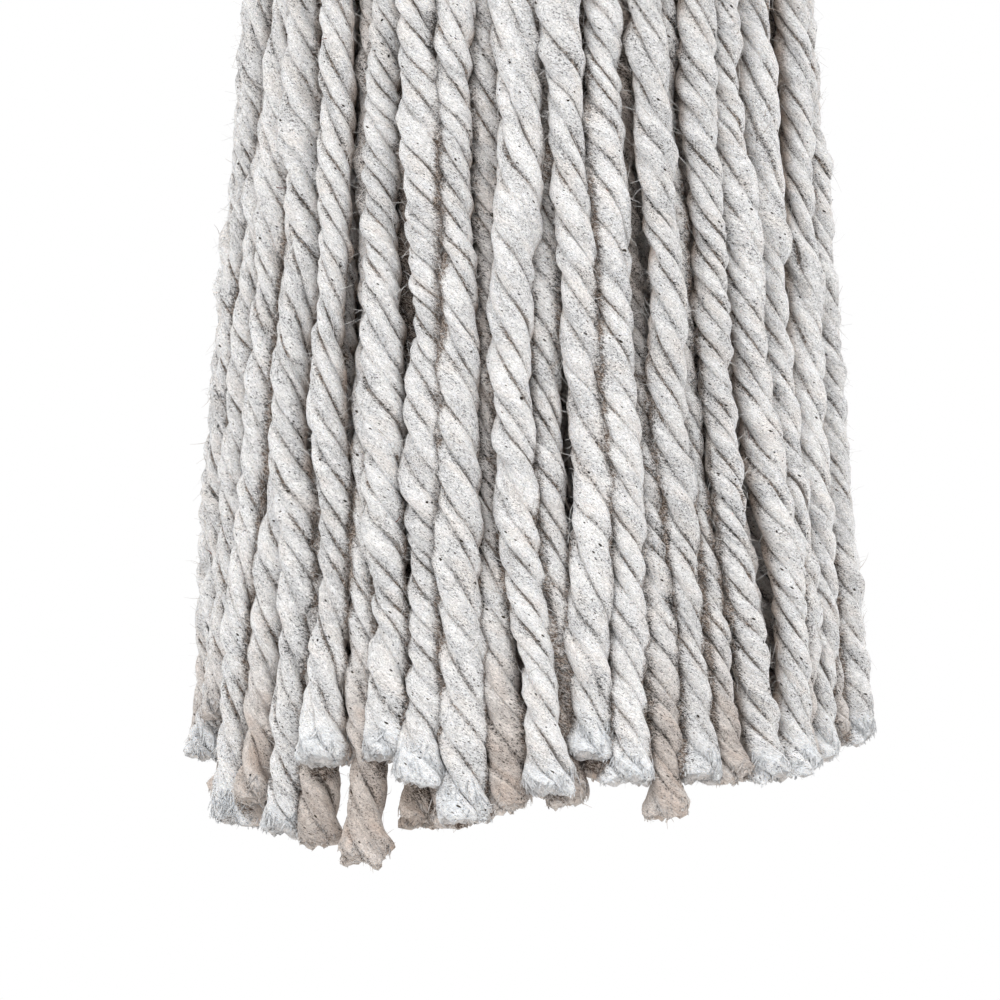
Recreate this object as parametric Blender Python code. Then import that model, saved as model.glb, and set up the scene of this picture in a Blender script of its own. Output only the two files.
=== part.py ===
"""String mop hanging from the wire bail at the end of its handle.

Metres, +Z up, front towards -Y. The origin is the top of the bail's inside, where it rests on a hook.
From the top down: bail, hanger cap, wooden handle, threaded tip, washer, screw socket with its bell
skirt, and the cotton yarns, whose folded middles are clamped inside the bell by a plate and a bolt.
"""

import math
import random

import bmesh
import bpy
import numpy as np

GAP = 0.0003
ROUND, HEX, THREAD = "round", "hex", "thread"

# Bail: a closed ring of wire with a straight run along X, which is its pin.
WIRE_RADIUS = 0.0016
BAIL_HALF_WIDTH = 0.017
BAIL_CORNER = 0.005
PIN_Z = -0.032
PIN_BORE_RADIUS = 0.0021

# Handle.
SHAFT_RADIUS = 0.012
SHAFT_LENGTH = 1.100
SHAFT_TOP = PIN_Z - 0.009
SHAFT_BOTTOM = SHAFT_TOP - SHAFT_LENGTH
SLEEVE_INSIDE = SHAFT_RADIUS + GAP
CAP_RADIUS = 0.0138
CAP_COVER = 0.029
TIP_RADIUS = 0.0140
TIP_COVER = 0.030
TIP_FLOOR = 0.004
RIVET_RADIUS = 0.0016

# Screw joint between the handle and the head: right-hand thread.
PITCH = 0.005
THREAD_DEPTH = 0.0006
THREAD_CLEARANCE = 0.0004
PLUG_RADIUS = 0.0104
PLUG_LENGTH = 0.032
ROWS_PER_PITCH = 6
THREAD_SEGMENTS = 18
SHOULDER_Z = SHAFT_BOTTOM - GAP - TIP_FLOOR
WASHER_THICKNESS = 0.002
MOUTH_Z = SHOULDER_Z - WASHER_THICKNESS - 2 * GAP

# Head: heights below are measured from the underside of the socket's floor.
SOCKET_RADIUS = 0.015
BORE_DEPTH = 0.036
SOCKET_FLOOR = 0.003
BASE_Z = MOUTH_Z - BORE_DEPTH - SOCKET_FLOOR
BOLT_RADIUS = 0.003
BOLT_HOLE = 0.0034
SKIRT_DROP = 0.032
RIM_Z = BASE_Z - SKIRT_DROP

# Yarns: a ring of yarns around an inner layer and a core.
YARN_DIAMETER = 0.0056
YARN_SPACING = 0.0061
YARN_DROP = 0.280
YARN_TOP = 0.0015
LEVELS = 15
YARN_POINTS = 11
LOCKS = 6
YARNS_PER_LOCK = 5
YARNS = LOCKS * YARNS_PER_LOCK
INNER_THICKNESS = 0.0064
CORE_TOP = 0.0025
CORE_SHORT = 0.012
SEED = 7

# How far the ring of yarns stands out at each drop below the skirt's rim.
RING_DROPS = (0.0, 0.140, 0.191, 0.225, 0.262, 0.280)
RING_RADII = (0.038, 0.047, 0.051, 0.054, 0.0563, 0.057)

# Routes of the front yarns, from -X to +X, in millimetres: x at three heights above the lowest yarn
# end, then x and height of the yarn's own end. At the rim they start evenly spaced.
ROUTE_HEIGHTS = (140, 89, 55)
FRONT_ROUTES = (
    (-46.5, -51.3, -55.2, -55.5, 17),
    (-43, -45, -47, -51.5, 6),
    (-39, -38.5, -40, -42.5, 5),
    (-32.5, -32, -33, -34, 17),
    (-25, -24.5, -24, -23, 18),
    (-19.5, -17.5, -17, -18.5, 14),
    (-13.5, -11, -10.5, -10, 8),
    (-2.5, -2.5, -3, 4, 12),
    (6, 8.5, 10.5, 11, 18),
    (12, 15, 17, 17.5, 14),
    (18.5, 23, 28, 29.5, 14),
    (28, 31.5, 36, 41.5, 14),
    (33, 38, 42.5, 47, 15),
    (44, 48.5, 50, 51.5, 17),
    (47, 53, 54.5, 57.5, 20),
)


def material(name, color, roughness, metallic=0.0):
    made = bpy.data.materials.new(name)
    made.use_nodes = True
    shader = made.node_tree.nodes["Principled BSDF"]
    shader.inputs["Base Color"].default_value = (*color, 1.0)
    shader.inputs["Roughness"].default_value = roughness
    shader.inputs["Metallic"].default_value = metallic
    return made


def add_object(name, data, surface):
    made = bpy.data.objects.new(name, data)
    bpy.context.scene.collection.objects.link(made)
    data.materials.append(surface)
    return made


def mesh_object(name, mesh, surface, sharp_angle=math.radians(35)):
    bmesh.ops.recalc_face_normals(mesh, faces=mesh.faces[:])
    data = bpy.data.meshes.new(name)
    mesh.to_mesh(data)
    mesh.free()
    data.shade_smooth()
    data.set_sharp_from_angle(angle=sharp_angle)
    return add_object(name, data, surface)


def row_radius(radius, kind, angle, z):
    """Radius of a turned row at one angle: plain, hexagonal, or with a right-hand thread on it."""
    if kind == HEX:
        from_flat = (angle + math.pi / 6) % (math.pi / 3) - math.pi / 6
        return radius * math.cos(math.pi / 6) / math.cos(from_flat)
    if kind == THREAD:
        return radius + THREAD_DEPTH * math.cos(2 * math.pi * z / PITCH - angle)
    return radius


def turned(name, outline, surface, segments=24):
    """Solid turned around Z from a closed outline of (radius, z) or (radius, z, kind) points."""
    mesh = bmesh.new()
    rings = []
    for radius, z, *kind in outline:
        if radius == 0:
            rings.append([mesh.verts.new((0, 0, z))])
            continue
        ring = []
        for step in range(segments):
            angle = 2 * math.pi * step / segments
            r = row_radius(radius, kind[0] if kind else ROUND, angle, z)
            ring.append(mesh.verts.new((r * math.cos(angle), r * math.sin(angle), z)))
        rings.append(ring)
    for ring, following in zip(rings, rings[1:] + rings[:1]):
        for step in range(segments):
            corners = [ring[step % len(ring)], ring[(step + 1) % len(ring)]]
            corners += [following[(step + 1) % len(following)], following[step % len(following)]]
            corners = list(dict.fromkeys(corners))
            if len(corners) > 2:
                mesh.faces.new(corners)
    return mesh_object(name, mesh, surface)


def thread_rows(radius, plain, start, end):
    """Threaded rows from start to end, which run out into the plain radius at both ends."""
    count = round(abs(end - start) / PITCH * ROWS_PER_PITCH)
    heights = np.linspace(start, end, count + 1)
    return [(plain, start)] + [(radius, z, THREAD) for z in heights[2:-2]] + [(plain, end)]


def arc(center_x, center_z, radius, start, end, steps):
    angles = np.linspace(math.radians(start), math.radians(end), steps)
    return [(center_x + radius * math.cos(a), 0, center_z + radius * math.sin(a)) for a in angles]


def tube(name, points, radius, surface, cyclic=False, bevel_resolution=2):
    """Round wire or yarn along points, as a curve with a bevel and filled ends."""
    data = bpy.data.curves.new(name, "CURVE")
    data.dimensions = "3D"
    data.bevel_depth = radius
    data.bevel_resolution = bevel_resolution
    data.resolution_u = 1
    data.render_resolution_u = 0
    data.use_fill_caps = not cyclic
    spline = data.splines.new("POLY")
    spline.points.add(len(points) - 1)
    for knot, point in zip(spline.points, points):
        knot.co = (*point, 1)
    spline.use_cyclic_u = cyclic
    return add_object(name, data, surface)


def make_bail(surface):
    low_z = PIN_Z + BAIL_CORNER
    inner = BAIL_HALF_WIDTH - BAIL_CORNER
    points = arc(inner, low_z, BAIL_CORNER, -90, 0, 5)
    points += arc(0, WIRE_RADIUS - BAIL_HALF_WIDTH, BAIL_HALF_WIDTH, 0, 180, 15)
    points += arc(-inner, low_z, BAIL_CORNER, 180, 270, 5)
    tube("hanger_bail", points, WIRE_RADIUS, surface, cyclic=True, bevel_resolution=3)


def bore_cutter(name, radius, length, z, along_x):
    """Hidden cylinder lying along X or Y, for cutting a cross bore at height z."""
    mesh = bmesh.new()
    bmesh.ops.create_cone(
        mesh, cap_ends=True, segments=16, radius1=radius, radius2=radius, depth=length
    )
    data = bpy.data.meshes.new(name)
    mesh.to_mesh(data)
    mesh.free()
    cutter = bpy.data.objects.new(name, data)
    bpy.context.scene.collection.objects.link(cutter)
    cutter.rotation_euler = (0, math.pi / 2, 0) if along_x else (math.pi / 2, 0, 0)
    cutter.location = (0, 0, z)
    cutter.hide_render = True
    cutter.display_type = "WIRE"
    return cutter


def cut(target, cutter):
    modifier = target.modifiers.new("bore", "BOOLEAN")
    modifier.operation = "DIFFERENCE"
    modifier.object = cutter


def make_cap(surface):
    """Moulded cap over the top of the handle, with a cross bore for the bail's pin."""
    top = PIN_Z + 0.012
    lip = SHAFT_TOP - CAP_COVER
    inside = SHAFT_TOP + GAP
    outline = [
        (0, top),
        (0.0092, top),
        (0.0124, top - 0.0016),
        (CAP_RADIUS, top - 0.005),
        (CAP_RADIUS, lip + 0.003),
        (CAP_RADIUS + 0.0006, lip + 0.002),
        (CAP_RADIUS + 0.0006, lip),
        (SLEEVE_INSIDE, lip),
        (SLEEVE_INSIDE, inside),
        (0, inside),
    ]
    cap = turned("hanger_cap", outline, surface)
    cut(cap, bore_cutter("pin_bore_guide", PIN_BORE_RADIUS, 0.04, PIN_Z, along_x=True))


def make_shaft(surface):
    chamfer = 0.001
    outline = [
        (0, SHAFT_TOP),
        (SHAFT_RADIUS - chamfer, SHAFT_TOP),
        (SHAFT_RADIUS, SHAFT_TOP - chamfer),
        (SHAFT_RADIUS, SHAFT_BOTTOM + chamfer),
        (SHAFT_RADIUS - chamfer, SHAFT_BOTTOM),
        (0, SHAFT_BOTTOM),
    ]
    return turned("handle_shaft", outline, surface)


def make_tip(surface):
    """Moulded sleeve over the bottom of the handle, with the male thread below its shoulder."""
    inside = SHAFT_BOTTOM - GAP
    lip = SHAFT_BOTTOM + TIP_COVER
    end = SHOULDER_Z - PLUG_LENGTH
    outline = [
        (0, inside),
        (SLEEVE_INSIDE, inside),
        (SLEEVE_INSIDE, lip),
        (TIP_RADIUS - 0.0007, lip),
        (TIP_RADIUS, lip - 0.002),
        (TIP_RADIUS, SHOULDER_Z + 0.0008),
        (TIP_RADIUS - 0.0008, SHOULDER_Z),
    ]
    outline += thread_rows(PLUG_RADIUS, PLUG_RADIUS - THREAD_DEPTH, SHOULDER_Z, end + 0.002)
    outline += [(PLUG_RADIUS - 0.0015, end), (0, end)]
    return turned("threaded_tip", outline, surface, THREAD_SEGMENTS)


def make_rivet(shaft, tip, surface):
    """Rivet that goes through the threaded tip's sleeve and the handle, from front to back."""
    z = SHAFT_BOTTOM + TIP_COVER / 2
    half = TIP_RADIUS + 0.0004
    head = TIP_RADIUS + 0.0014
    outline = [
        (0, head),
        (0.0020, head - 0.0003),
        (0.0030, half),
        (RIVET_RADIUS, half),
        (RIVET_RADIUS, -half),
        (0.0030, -half),
        (0.0020, 0.0003 - head),
        (0, -head),
    ]
    rivet = turned("tip_rivet", outline, surface, segments=12)
    rivet.rotation_euler = (math.pi / 2, 0, 0)
    rivet.location = (0, 0, z)
    cutter = bore_cutter("rivet_bore_guide", RIVET_RADIUS + GAP, 0.04, z, along_x=False)
    cut(shaft, cutter)
    cut(tip, cutter)


def make_washer(surface):
    top = SHOULDER_Z - GAP
    bottom = top - WASHER_THICKNESS
    inside = PLUG_RADIUS + THREAD_DEPTH + 0.0004
    outline = [
        (inside, top),
        (SOCKET_RADIUS - 0.0003, top),
        (SOCKET_RADIUS, top - 0.0005),
        (SOCKET_RADIUS, bottom + 0.0005),
        (SOCKET_RADIUS - 0.0003, bottom),
        (inside, bottom),
    ]
    turned("joint_washer", outline, surface)


def make_socket(surface):
    """Screw socket: a tube with the female thread, a rolled bead, and a flange around its floor."""
    floor_z = BASE_Z + SOCKET_FLOOR
    bore = PLUG_RADIUS + THREAD_CLEARANCE
    outline = [(BOLT_HOLE, BASE_Z), (BOLT_HOLE, floor_z)]
    outline += thread_rows(bore, bore + THREAD_DEPTH, floor_z, MOUTH_Z - 0.001)
    outline += [
        (bore + 0.0012, MOUTH_Z),
        (SOCKET_RADIUS - 0.0006, MOUTH_Z),
        (SOCKET_RADIUS, MOUTH_Z - 0.0006),
        (SOCKET_RADIUS, BASE_Z + 0.0205),
        (SOCKET_RADIUS + 0.0014, BASE_Z + 0.0192),
        (SOCKET_RADIUS + 0.0014, BASE_Z + 0.0172),
        (SOCKET_RADIUS, BASE_Z + 0.0159),
        (SOCKET_RADIUS, BASE_Z + 0.002),
        (0.022, BASE_Z + 0.002),
        (0.022, BASE_Z),
    ]
    turned("screw_socket", outline, surface, THREAD_SEGMENTS)


def make_skirt(surface):
    """Bell skirt spun from sheet, one millimetre thick, with a rolled rim."""
    outside = (
        (0.0163, 0.0156),
        (0.0163, 0.0095),
        (0.0185, 0.0072),
        (0.0240, 0.0046),
        (0.0300, 0.0005),
        (0.0360, -0.0065),
        (0.0405, -0.0160),
        (0.0426, -0.0260),
        (0.0432, -0.0300),
        (0.0444, -0.0306),
        (0.0444, -SKIRT_DROP),
    )
    inside = (
        (0.0422, -SKIRT_DROP),
        (0.0416, -0.0260),
        (0.0395, -0.0163),
        (0.0351, -0.0071),
        (0.0293, -0.0003),
        (0.0236, 0.0036),
        (0.0176, 0.0063),
        (0.0153, 0.0090),
        (0.0153, 0.0156),
    )
    outline = [(radius, BASE_Z + z) for radius, z in outside + inside]
    turned("bell_skirt", outline, surface)


def make_clamp(steel, plated):
    """Plate, bolt, washer and nut that press the folded yarns against the socket's floor."""
    plate = ((BOLT_HOLE, -0.0222), (0.0286, -0.0222), (0.0286, -0.0242), (BOLT_HOLE, -0.0242))
    washer = ((BOLT_HOLE, -0.0245), (0.0090, -0.0245), (0.0090, -0.0261), (BOLT_HOLE, -0.0261))
    nut = (
        (BOLT_HOLE, -0.0264),
        (0.0058, -0.0264, HEX),
        (0.0058, -0.0312, HEX),
        (BOLT_HOLE, -0.0312),
    )
    head_low = SOCKET_FLOOR + GAP
    bolt = (
        (0, head_low + 0.004),
        (0.0058, head_low + 0.004, HEX),
        (0.0058, head_low, HEX),
        (BOLT_RADIUS, head_low),
        (BOLT_RADIUS, -0.0325),
        (BOLT_RADIUS - 0.0006, -0.0331),
        (0, -0.0331),
    )
    pieces = (
        ("clamp_plate", plate, plated, 24),
        ("plain_washer", washer, plated, 24),
        ("hex_nut", nut, steel, 12),
        ("centre_bolt", bolt, steel, 12),
    )
    for name, outline, surface, segments in pieces:
        placed = [(radius, BASE_Z + z, *kind) for radius, z, *kind in outline]
        turned(name, placed, surface, segments)


def make_fold(surface):
    """Folded middle of the yarn hank, packed into the bell around the bolt and over the plate's edge."""
    outline = (
        (0.0040, -0.0004),
        (0.0225, -0.0004),
        (0.0285, -0.0020),
        (0.0342, -0.0082),
        (0.0384, -0.0170),
        (0.0404, -0.0260),
        (0.0406, -0.0295),
        (0.0300, -0.0295),
        (0.0300, -0.0219),
        (0.0040, -0.0219),
    )
    turned("yarn_fold", [(radius, BASE_Z + z) for radius, z in outline], surface)


def ring_radius(drop):
    return float(np.interp(drop, RING_DROPS, RING_RADII))


def front_targets(drops, start_angle):
    """Route of each front yarn over the levels: x by hand, and y on the ring's front."""
    heights = [YARN_DROP * 1000, *ROUTE_HEIGHTS]
    routes = []
    for row, angle in zip(FRONT_ROUTES, start_angle):
        end_x, end_height = row[3:]
        xs = [1000 * ring_radius(0) * math.sin(angle), *row[:3], end_x]
        known = np.array([*heights, end_height]) / 1000
        x = np.interp(YARN_DROP - drops, known[::-1], np.array(xs[::-1]) / 1000)
        radii = np.array([ring_radius(drop) for drop in drops])
        y = -np.sqrt(np.maximum(radii**2 - x**2, (0.2 * radii) ** 2))
        routes.append(np.column_stack((x, y)))
    return routes


def back_targets(drops, start_angle, randomness):
    """Route of each back yarn: down the ring, drifting a little to one side."""
    routes = []
    for angle in start_angle:
        drift = math.radians(randomness.uniform(-2.5, 2.5))
        radii = np.array([ring_radius(drop) for drop in drops])
        angles = angle + drift * drops / YARN_DROP
        routes.append(np.column_stack((radii * np.sin(angles), -radii * np.cos(angles))))
    return routes


def spread_apart(points, radius):
    """Pushes yarns that lie too close sideways until they touch, and keeps them out on the ring."""
    for _ in range(40):
        away = points[:, None] - points[None]
        distance = np.linalg.norm(away, axis=2) + np.eye(len(points))
        push = np.maximum(YARN_SPACING - distance, 0) / 2 * (1 - np.eye(len(points)))
        points = points + (away / distance[..., None] * push[..., None]).sum(1)
        reach = np.linalg.norm(points, axis=1)
        points = points * np.maximum(1, radius / reach)[:, None]
    return points


def yarn_routes():
    """Drops of the levels, and each yarn's (x, y) at every level, as an array [yarn, level, 2]."""
    randomness = random.Random(SEED)
    drops = np.linspace(0, YARN_DROP, LEVELS)
    step = 2 * math.pi / YARNS
    angles = [(index + 0.5) * step - math.pi / 2 for index in range(YARNS)]
    fronts = len(FRONT_ROUTES)
    routes = np.array(
        front_targets(drops, angles[:fronts]) + back_targets(drops, angles[fronts:], randomness)
    )
    for _ in range(4):
        routes[:, 1:-1] = (routes[:, :-2] + 2 * routes[:, 1:-1] + routes[:, 2:]) / 4
        for level, drop in enumerate(drops):
            routes[:, level] = spread_apart(routes[:, level], ring_radius(drop))
    return drops, routes


def yarn_ends(routes):
    """Height of each yarn's end above the lowest one: at the back, the front's hem or a little above."""
    randomness = random.Random(SEED + 1)
    end_x = [row[3] / 1000 for row in FRONT_ROUTES]
    fronts = [row[4] / 1000 for row in FRONT_ROUTES]
    backs = [
        float(np.interp(route[-1, 0], end_x, fronts)) + randomness.uniform(0, 0.006)
        for route in routes[len(fronts) :]
    ]
    return fronts + backs


def make_yarns(drops, routes, surface):
    for index, (route, end) in enumerate(zip(routes, yarn_ends(routes))):
        points = []
        for drop in np.linspace(YARN_TOP, YARN_DROP - end, YARN_POINTS):
            x = np.interp(drop, drops, route[:, 0])
            y = np.interp(drop, drops, route[:, 1])
            points.append((x, y, RIM_Z - drop))
        tube(f"yarn_{index + 1:02d}", points, YARN_DIAMETER / 2, surface)


def make_inner_layer(drops, routes, surface):
    """One closed sheet of inner yarns behind each lock's ring yarns, no wider than the lock."""
    for lock in range(LOCKS):
        mesh = bmesh.new()
        members = routes[lock * YARNS_PER_LOCK : (lock + 1) * YARNS_PER_LOCK]
        loops = []
        for level in range(0, LEVELS, 2):
            drop = drops[level]
            first, last = (math.atan2(x, -y) for x, y in (members[0, level], members[-1, level]))
            last += 2 * math.pi if last < first else 0
            angles = np.linspace(first, last, YARNS_PER_LOCK + 2)
            outer = ring_radius(drop) - YARN_DIAMETER / 2 - 2 * GAP
            z = RIM_Z - max(drop, 0.002)
            rim = [(outer, a) for a in angles] + [(outer - INNER_THICKNESS, a) for a in angles[::-1]]
            loops.append([mesh.verts.new((r * math.sin(a), -r * math.cos(a), z)) for r, a in rim])
        for loop, following in zip(loops, loops[1:]):
            for step in range(len(loop)):
                after = (step + 1) % len(loop)
                mesh.faces.new((loop[step], loop[after], following[after], following[step]))
        for loop in (loops[0], loops[-1]):
            half = len(loop) // 2
            for step in range(half - 1):
                mesh.faces.new((loop[step], loop[step + 1], loop[-step - 2], loop[-step - 1]))
        mesh_object(f"inner_yarns_{lock + 1}", mesh, surface)


def make_core(surface):
    """Yarns in the middle of the bunch, as one solid that tapers out with the ring."""
    inset = YARN_DIAMETER / 2 + 2 * GAP + INNER_THICKNESS + 2 * GAP
    outline = [(0, RIM_Z - CORE_TOP), (0.8 * (ring_radius(0) - inset), RIM_Z - CORE_TOP)]
    for drop in (0.012, *RING_DROPS[1:4], YARN_DROP - CORE_SHORT):
        outline.append((ring_radius(drop) - inset, RIM_Z - drop))
    outline.append((0, RIM_Z - YARN_DROP + CORE_SHORT))
    turned("core_yarns", outline, surface, segments=24)


def main():
    for existing in list(bpy.data.objects):
        bpy.data.objects.remove(existing, do_unlink=True)
    wire = material("bright_wire", (0.62, 0.63, 0.64), 0.25, 1.0)
    zinc = material("zinc_plate", (0.60, 0.61, 0.62), 0.38, 1.0)
    bolt_steel = material("bolt_steel", (0.50, 0.50, 0.51), 0.32, 1.0)
    plastic = material("grey_plastic", (0.16, 0.17, 0.18), 0.45)
    rubber = material("black_rubber", (0.035, 0.035, 0.035), 0.75)
    wood = material("varnished_wood", (0.62, 0.43, 0.25), 0.42)
    cotton = material("cotton", (0.76, 0.74, 0.71), 0.95)
    make_bail(wire)
    make_cap(plastic)
    make_rivet(make_shaft(wood), make_tip(plastic), bolt_steel)
    make_washer(rubber)
    make_socket(zinc)
    make_skirt(zinc)
    make_clamp(bolt_steel, zinc)
    make_fold(cotton)
    drops, routes = yarn_routes()
    make_yarns(drops, routes, cotton)
    make_inner_layer(drops, routes, cotton)
    make_core(cotton)


main()
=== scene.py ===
"""Looks of the string mop: twisted cotton yarns, a steel bell and socket, and a wooden handle.

Everything is in metres in the frame's own coordinates, with +Z up and the front towards -Y.
"""

import math
import random

import bmesh
import bpy
import numpy as np
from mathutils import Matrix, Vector


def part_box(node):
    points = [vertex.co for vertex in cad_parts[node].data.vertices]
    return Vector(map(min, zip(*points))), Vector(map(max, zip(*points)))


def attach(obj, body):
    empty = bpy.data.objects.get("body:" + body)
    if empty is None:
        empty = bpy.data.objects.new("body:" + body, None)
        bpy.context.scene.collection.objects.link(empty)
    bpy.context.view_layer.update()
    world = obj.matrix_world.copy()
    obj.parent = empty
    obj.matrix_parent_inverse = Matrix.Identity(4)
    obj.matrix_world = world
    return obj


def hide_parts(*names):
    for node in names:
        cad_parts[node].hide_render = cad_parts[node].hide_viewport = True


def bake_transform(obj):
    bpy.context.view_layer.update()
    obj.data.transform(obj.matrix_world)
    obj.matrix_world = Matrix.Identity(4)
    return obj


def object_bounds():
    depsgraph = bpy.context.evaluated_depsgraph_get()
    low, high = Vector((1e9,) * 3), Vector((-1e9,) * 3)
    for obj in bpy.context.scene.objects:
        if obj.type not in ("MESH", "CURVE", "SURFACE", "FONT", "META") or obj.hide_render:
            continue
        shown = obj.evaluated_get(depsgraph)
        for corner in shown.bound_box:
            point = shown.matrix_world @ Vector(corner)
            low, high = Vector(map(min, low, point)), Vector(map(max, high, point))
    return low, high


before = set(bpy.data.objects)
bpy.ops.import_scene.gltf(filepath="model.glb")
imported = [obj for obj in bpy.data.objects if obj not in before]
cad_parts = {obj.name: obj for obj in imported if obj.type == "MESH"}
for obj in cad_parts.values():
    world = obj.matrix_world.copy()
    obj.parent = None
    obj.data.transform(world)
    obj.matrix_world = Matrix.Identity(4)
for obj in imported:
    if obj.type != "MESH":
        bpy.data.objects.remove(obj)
CAD_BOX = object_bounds()

MM = 0.001
GAP = 0.3 * MM
LOWEST_Z = CAD_BOX[0].z
RIM_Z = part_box("bell_skirt")[0].z
BASE_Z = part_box("screw_socket")[0].z
MOUTH_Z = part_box("screw_socket")[1].z
SHAFT_LOW, SHAFT_HIGH = (corner.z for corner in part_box("handle_shaft"))
SHAFT_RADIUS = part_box("handle_shaft")[1].x
CAP_LOW, CAP_HIGH = (corner.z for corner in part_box("hanger_cap"))
PIN_Z = CAP_HIGH - 12 * MM
THREAD_PITCH = 5 * MM
THREAD_SEGMENTS = 72
# Half of the height from the thread's root to its crest.
THREAD_DEPTH = 0.6 * MM

# Camera: straight on, level, at the lower part of the yarns.
VIEW_WIDTH = 171 * MM
VIEW_LEFT = 4.6 * MM
VIEW_ABOVE_LOWEST = 63 * MM
CAMERA_DISTANCE = 2.0
SENSOR = 36.0

# Yarn routes, as in the CAD source. A front yarn's row has its x at each of the route heights and at its
# end, and the height of its end, all in millimetres. Heights are above the lowest end.
YARN_SPACING = 6.1 * MM
YARN_DROP = RIM_Z - LOWEST_Z
LEVELS = 15
LOCKS = 6
YARNS_PER_LOCK = 5
YARNS = LOCKS * YARNS_PER_LOCK
ROUTE_SEED = 7
RING_DROPS = (0.0, 0.140, 0.191, 0.225, 0.262, 0.280)
RING_RADII = (0.038, 0.047, 0.051, 0.054, 0.0563, 0.057)
ROUTE_HEIGHTS = (140, 89, 55)
FRONT_ROUTES = (
    (-46.5, -51.3, -55.2, -55.5, 17),
    (-43, -45, -47, -51.5, 6),
    (-39, -38.5, -40, -42.5, 5),
    (-32.5, -32, -33, -34, 17),
    (-25, -24.5, -24, -23, 18),
    (-19.5, -17.5, -17, -18.5, 14),
    (-13.5, -11, -10.5, -10, 8),
    (-2.5, -2.5, -3, 4, 12),
    (6, 8.5, 10.5, 11, 18),
    (12, 15, 17, 17.5, 14),
    (18.5, 23, 28, 29.5, 14),
    (28, 31.5, 36, 41.5, 14),
    (33, 38, 42.5, 47, 15),
    (44, 48.5, 50, 51.5, 17),
    (47, 53, 54.5, 57.5, 20),
)

# Yarn make-up.
YARN_RADIUS = 3.45 * MM
# How far a yarn's surface, and an opened end's loose fibres, may be from its middle.
FARTHEST = 6.0 * MM
# How far an opened end's loose fibres reach below the end of its yarn's middle.
TUFT_REACH = 1.2 * MM
# Length of a ply's full turn in a yarn of usual thickness.
LAY = 21.5 * MM
PLIES = 4
# How far up into the bell a yarn's shape goes.
TUCK = 4 * MM
# Distance between the rings of points along an outer, inner and core yarn.
RING_STEP = 0.75 * MM
INNER_STEP = 1.0 * MM
CORE_STEP = 2.0 * MM
# Distance between the middles of two yarns that press on each other.
CONTACT = 6.3 * MM
# How much further in an inner yarn lies behind the dark, narrow gaps.
HOLLOW = 3.5 * MM
# Yarns in each ring of the core, and the ring's distance behind the outer yarns in millimetres.
CORE_RINGS = ((24, 12.4), (20, 19.0), (15, 26.0), (12, 33.0), (9, 40.0), (5, 47.0), (2, 53.0))
# Heights of the inner yarns' ends that show between the front yarns, from -X to +X, in millimetres.
INNER_ENDS = (24, 10, 3, 0.5, 6.5, 7, 9.5, 10, 15, 8.5, 13.5, 14, 17, 21)


# ---------------- routes

def ring_radius(drop):
    return np.interp(drop, RING_DROPS, RING_RADII)


def front_targets(drops, start_angle):
    """Where the front yarns want to be: at their listed x, on the ring's circle."""
    radii = ring_radius(drops)
    routes = []
    for (*places, end), angle in zip(FRONT_ROUTES, start_angle):
        xs = np.array([1000 * radii[0] * math.sin(angle), *places]) / 1000
        heights = np.array([YARN_DROP * 1000, *ROUTE_HEIGHTS, end]) / 1000
        x = np.interp(YARN_DROP - drops, heights[::-1], xs[::-1])
        y = -np.sqrt(np.maximum(radii**2 - x**2, (0.2 * radii) ** 2))
        routes.append(np.column_stack((x, y)))
    return routes


def back_targets(drops, start_angle, randomness):
    """Where the back yarns want to be: evenly spaced, with a small drift to one side."""
    radii = ring_radius(drops)
    routes = []
    for angle in start_angle:
        side_drift = math.radians(randomness.uniform(-2.5, 2.5))
        angles = angle + side_drift * drops / YARN_DROP
        routes.append(np.column_stack((radii * np.sin(angles), -radii * np.cos(angles))))
    return routes


def spread_apart(points, radius):
    """Places at one level, moved until they are a yarn's spacing apart and on or outside the circle."""
    for _ in range(40):
        away = points[:, None] - points[None]
        distance = np.linalg.norm(away, axis=2) + np.eye(len(points))
        push = np.maximum(YARN_SPACING - distance, 0) / 2 * (1 - np.eye(len(points)))
        points = points + (away / distance[..., None] * push[..., None]).sum(1)
        reach = np.linalg.norm(points, axis=1)
        points = points * np.maximum(1, radius / reach)[:, None]
    return points


def yarn_routes():
    """Drops of the levels below the rim, and each yarn's (x, y) at every level."""
    randomness = random.Random(ROUTE_SEED)
    drops = np.linspace(0, YARN_DROP, LEVELS)
    step = 2 * math.pi / YARNS
    angles = [(index + 0.5) * step - math.pi / 2 for index in range(YARNS)]
    fronts = len(FRONT_ROUTES)
    routes = front_targets(drops, angles[:fronts]) + back_targets(drops, angles[fronts:], randomness)
    routes = np.array(routes)
    for _ in range(4):
        routes[:, 1:-1] = (routes[:, :-2] + 2 * routes[:, 1:-1] + routes[:, 2:]) / 4
        for level, drop in enumerate(drops):
            routes[:, level] = spread_apart(routes[:, level], ring_radius(drop))
    return drops, routes


def hem(x):
    """Height of the front yarns' ends above the lowest one, at a place from -X to +X."""
    ends = np.array(FRONT_ROUTES)[:, 3:] / 1000
    return float(np.interp(x, ends[:, 0], ends[:, 1]))


def yarn_ends(routes):
    """Height of each ring yarn's end above the lowest one: at the back, the front's hem or a little above."""
    randomness = random.Random(ROUTE_SEED + 1)
    fronts = [row[4] / 1000 for row in FRONT_ROUTES]
    backs = [hem(route[-1, 0]) + randomness.uniform(0, 0.006) for route in routes[len(fronts):]]
    return fronts + backs


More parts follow.
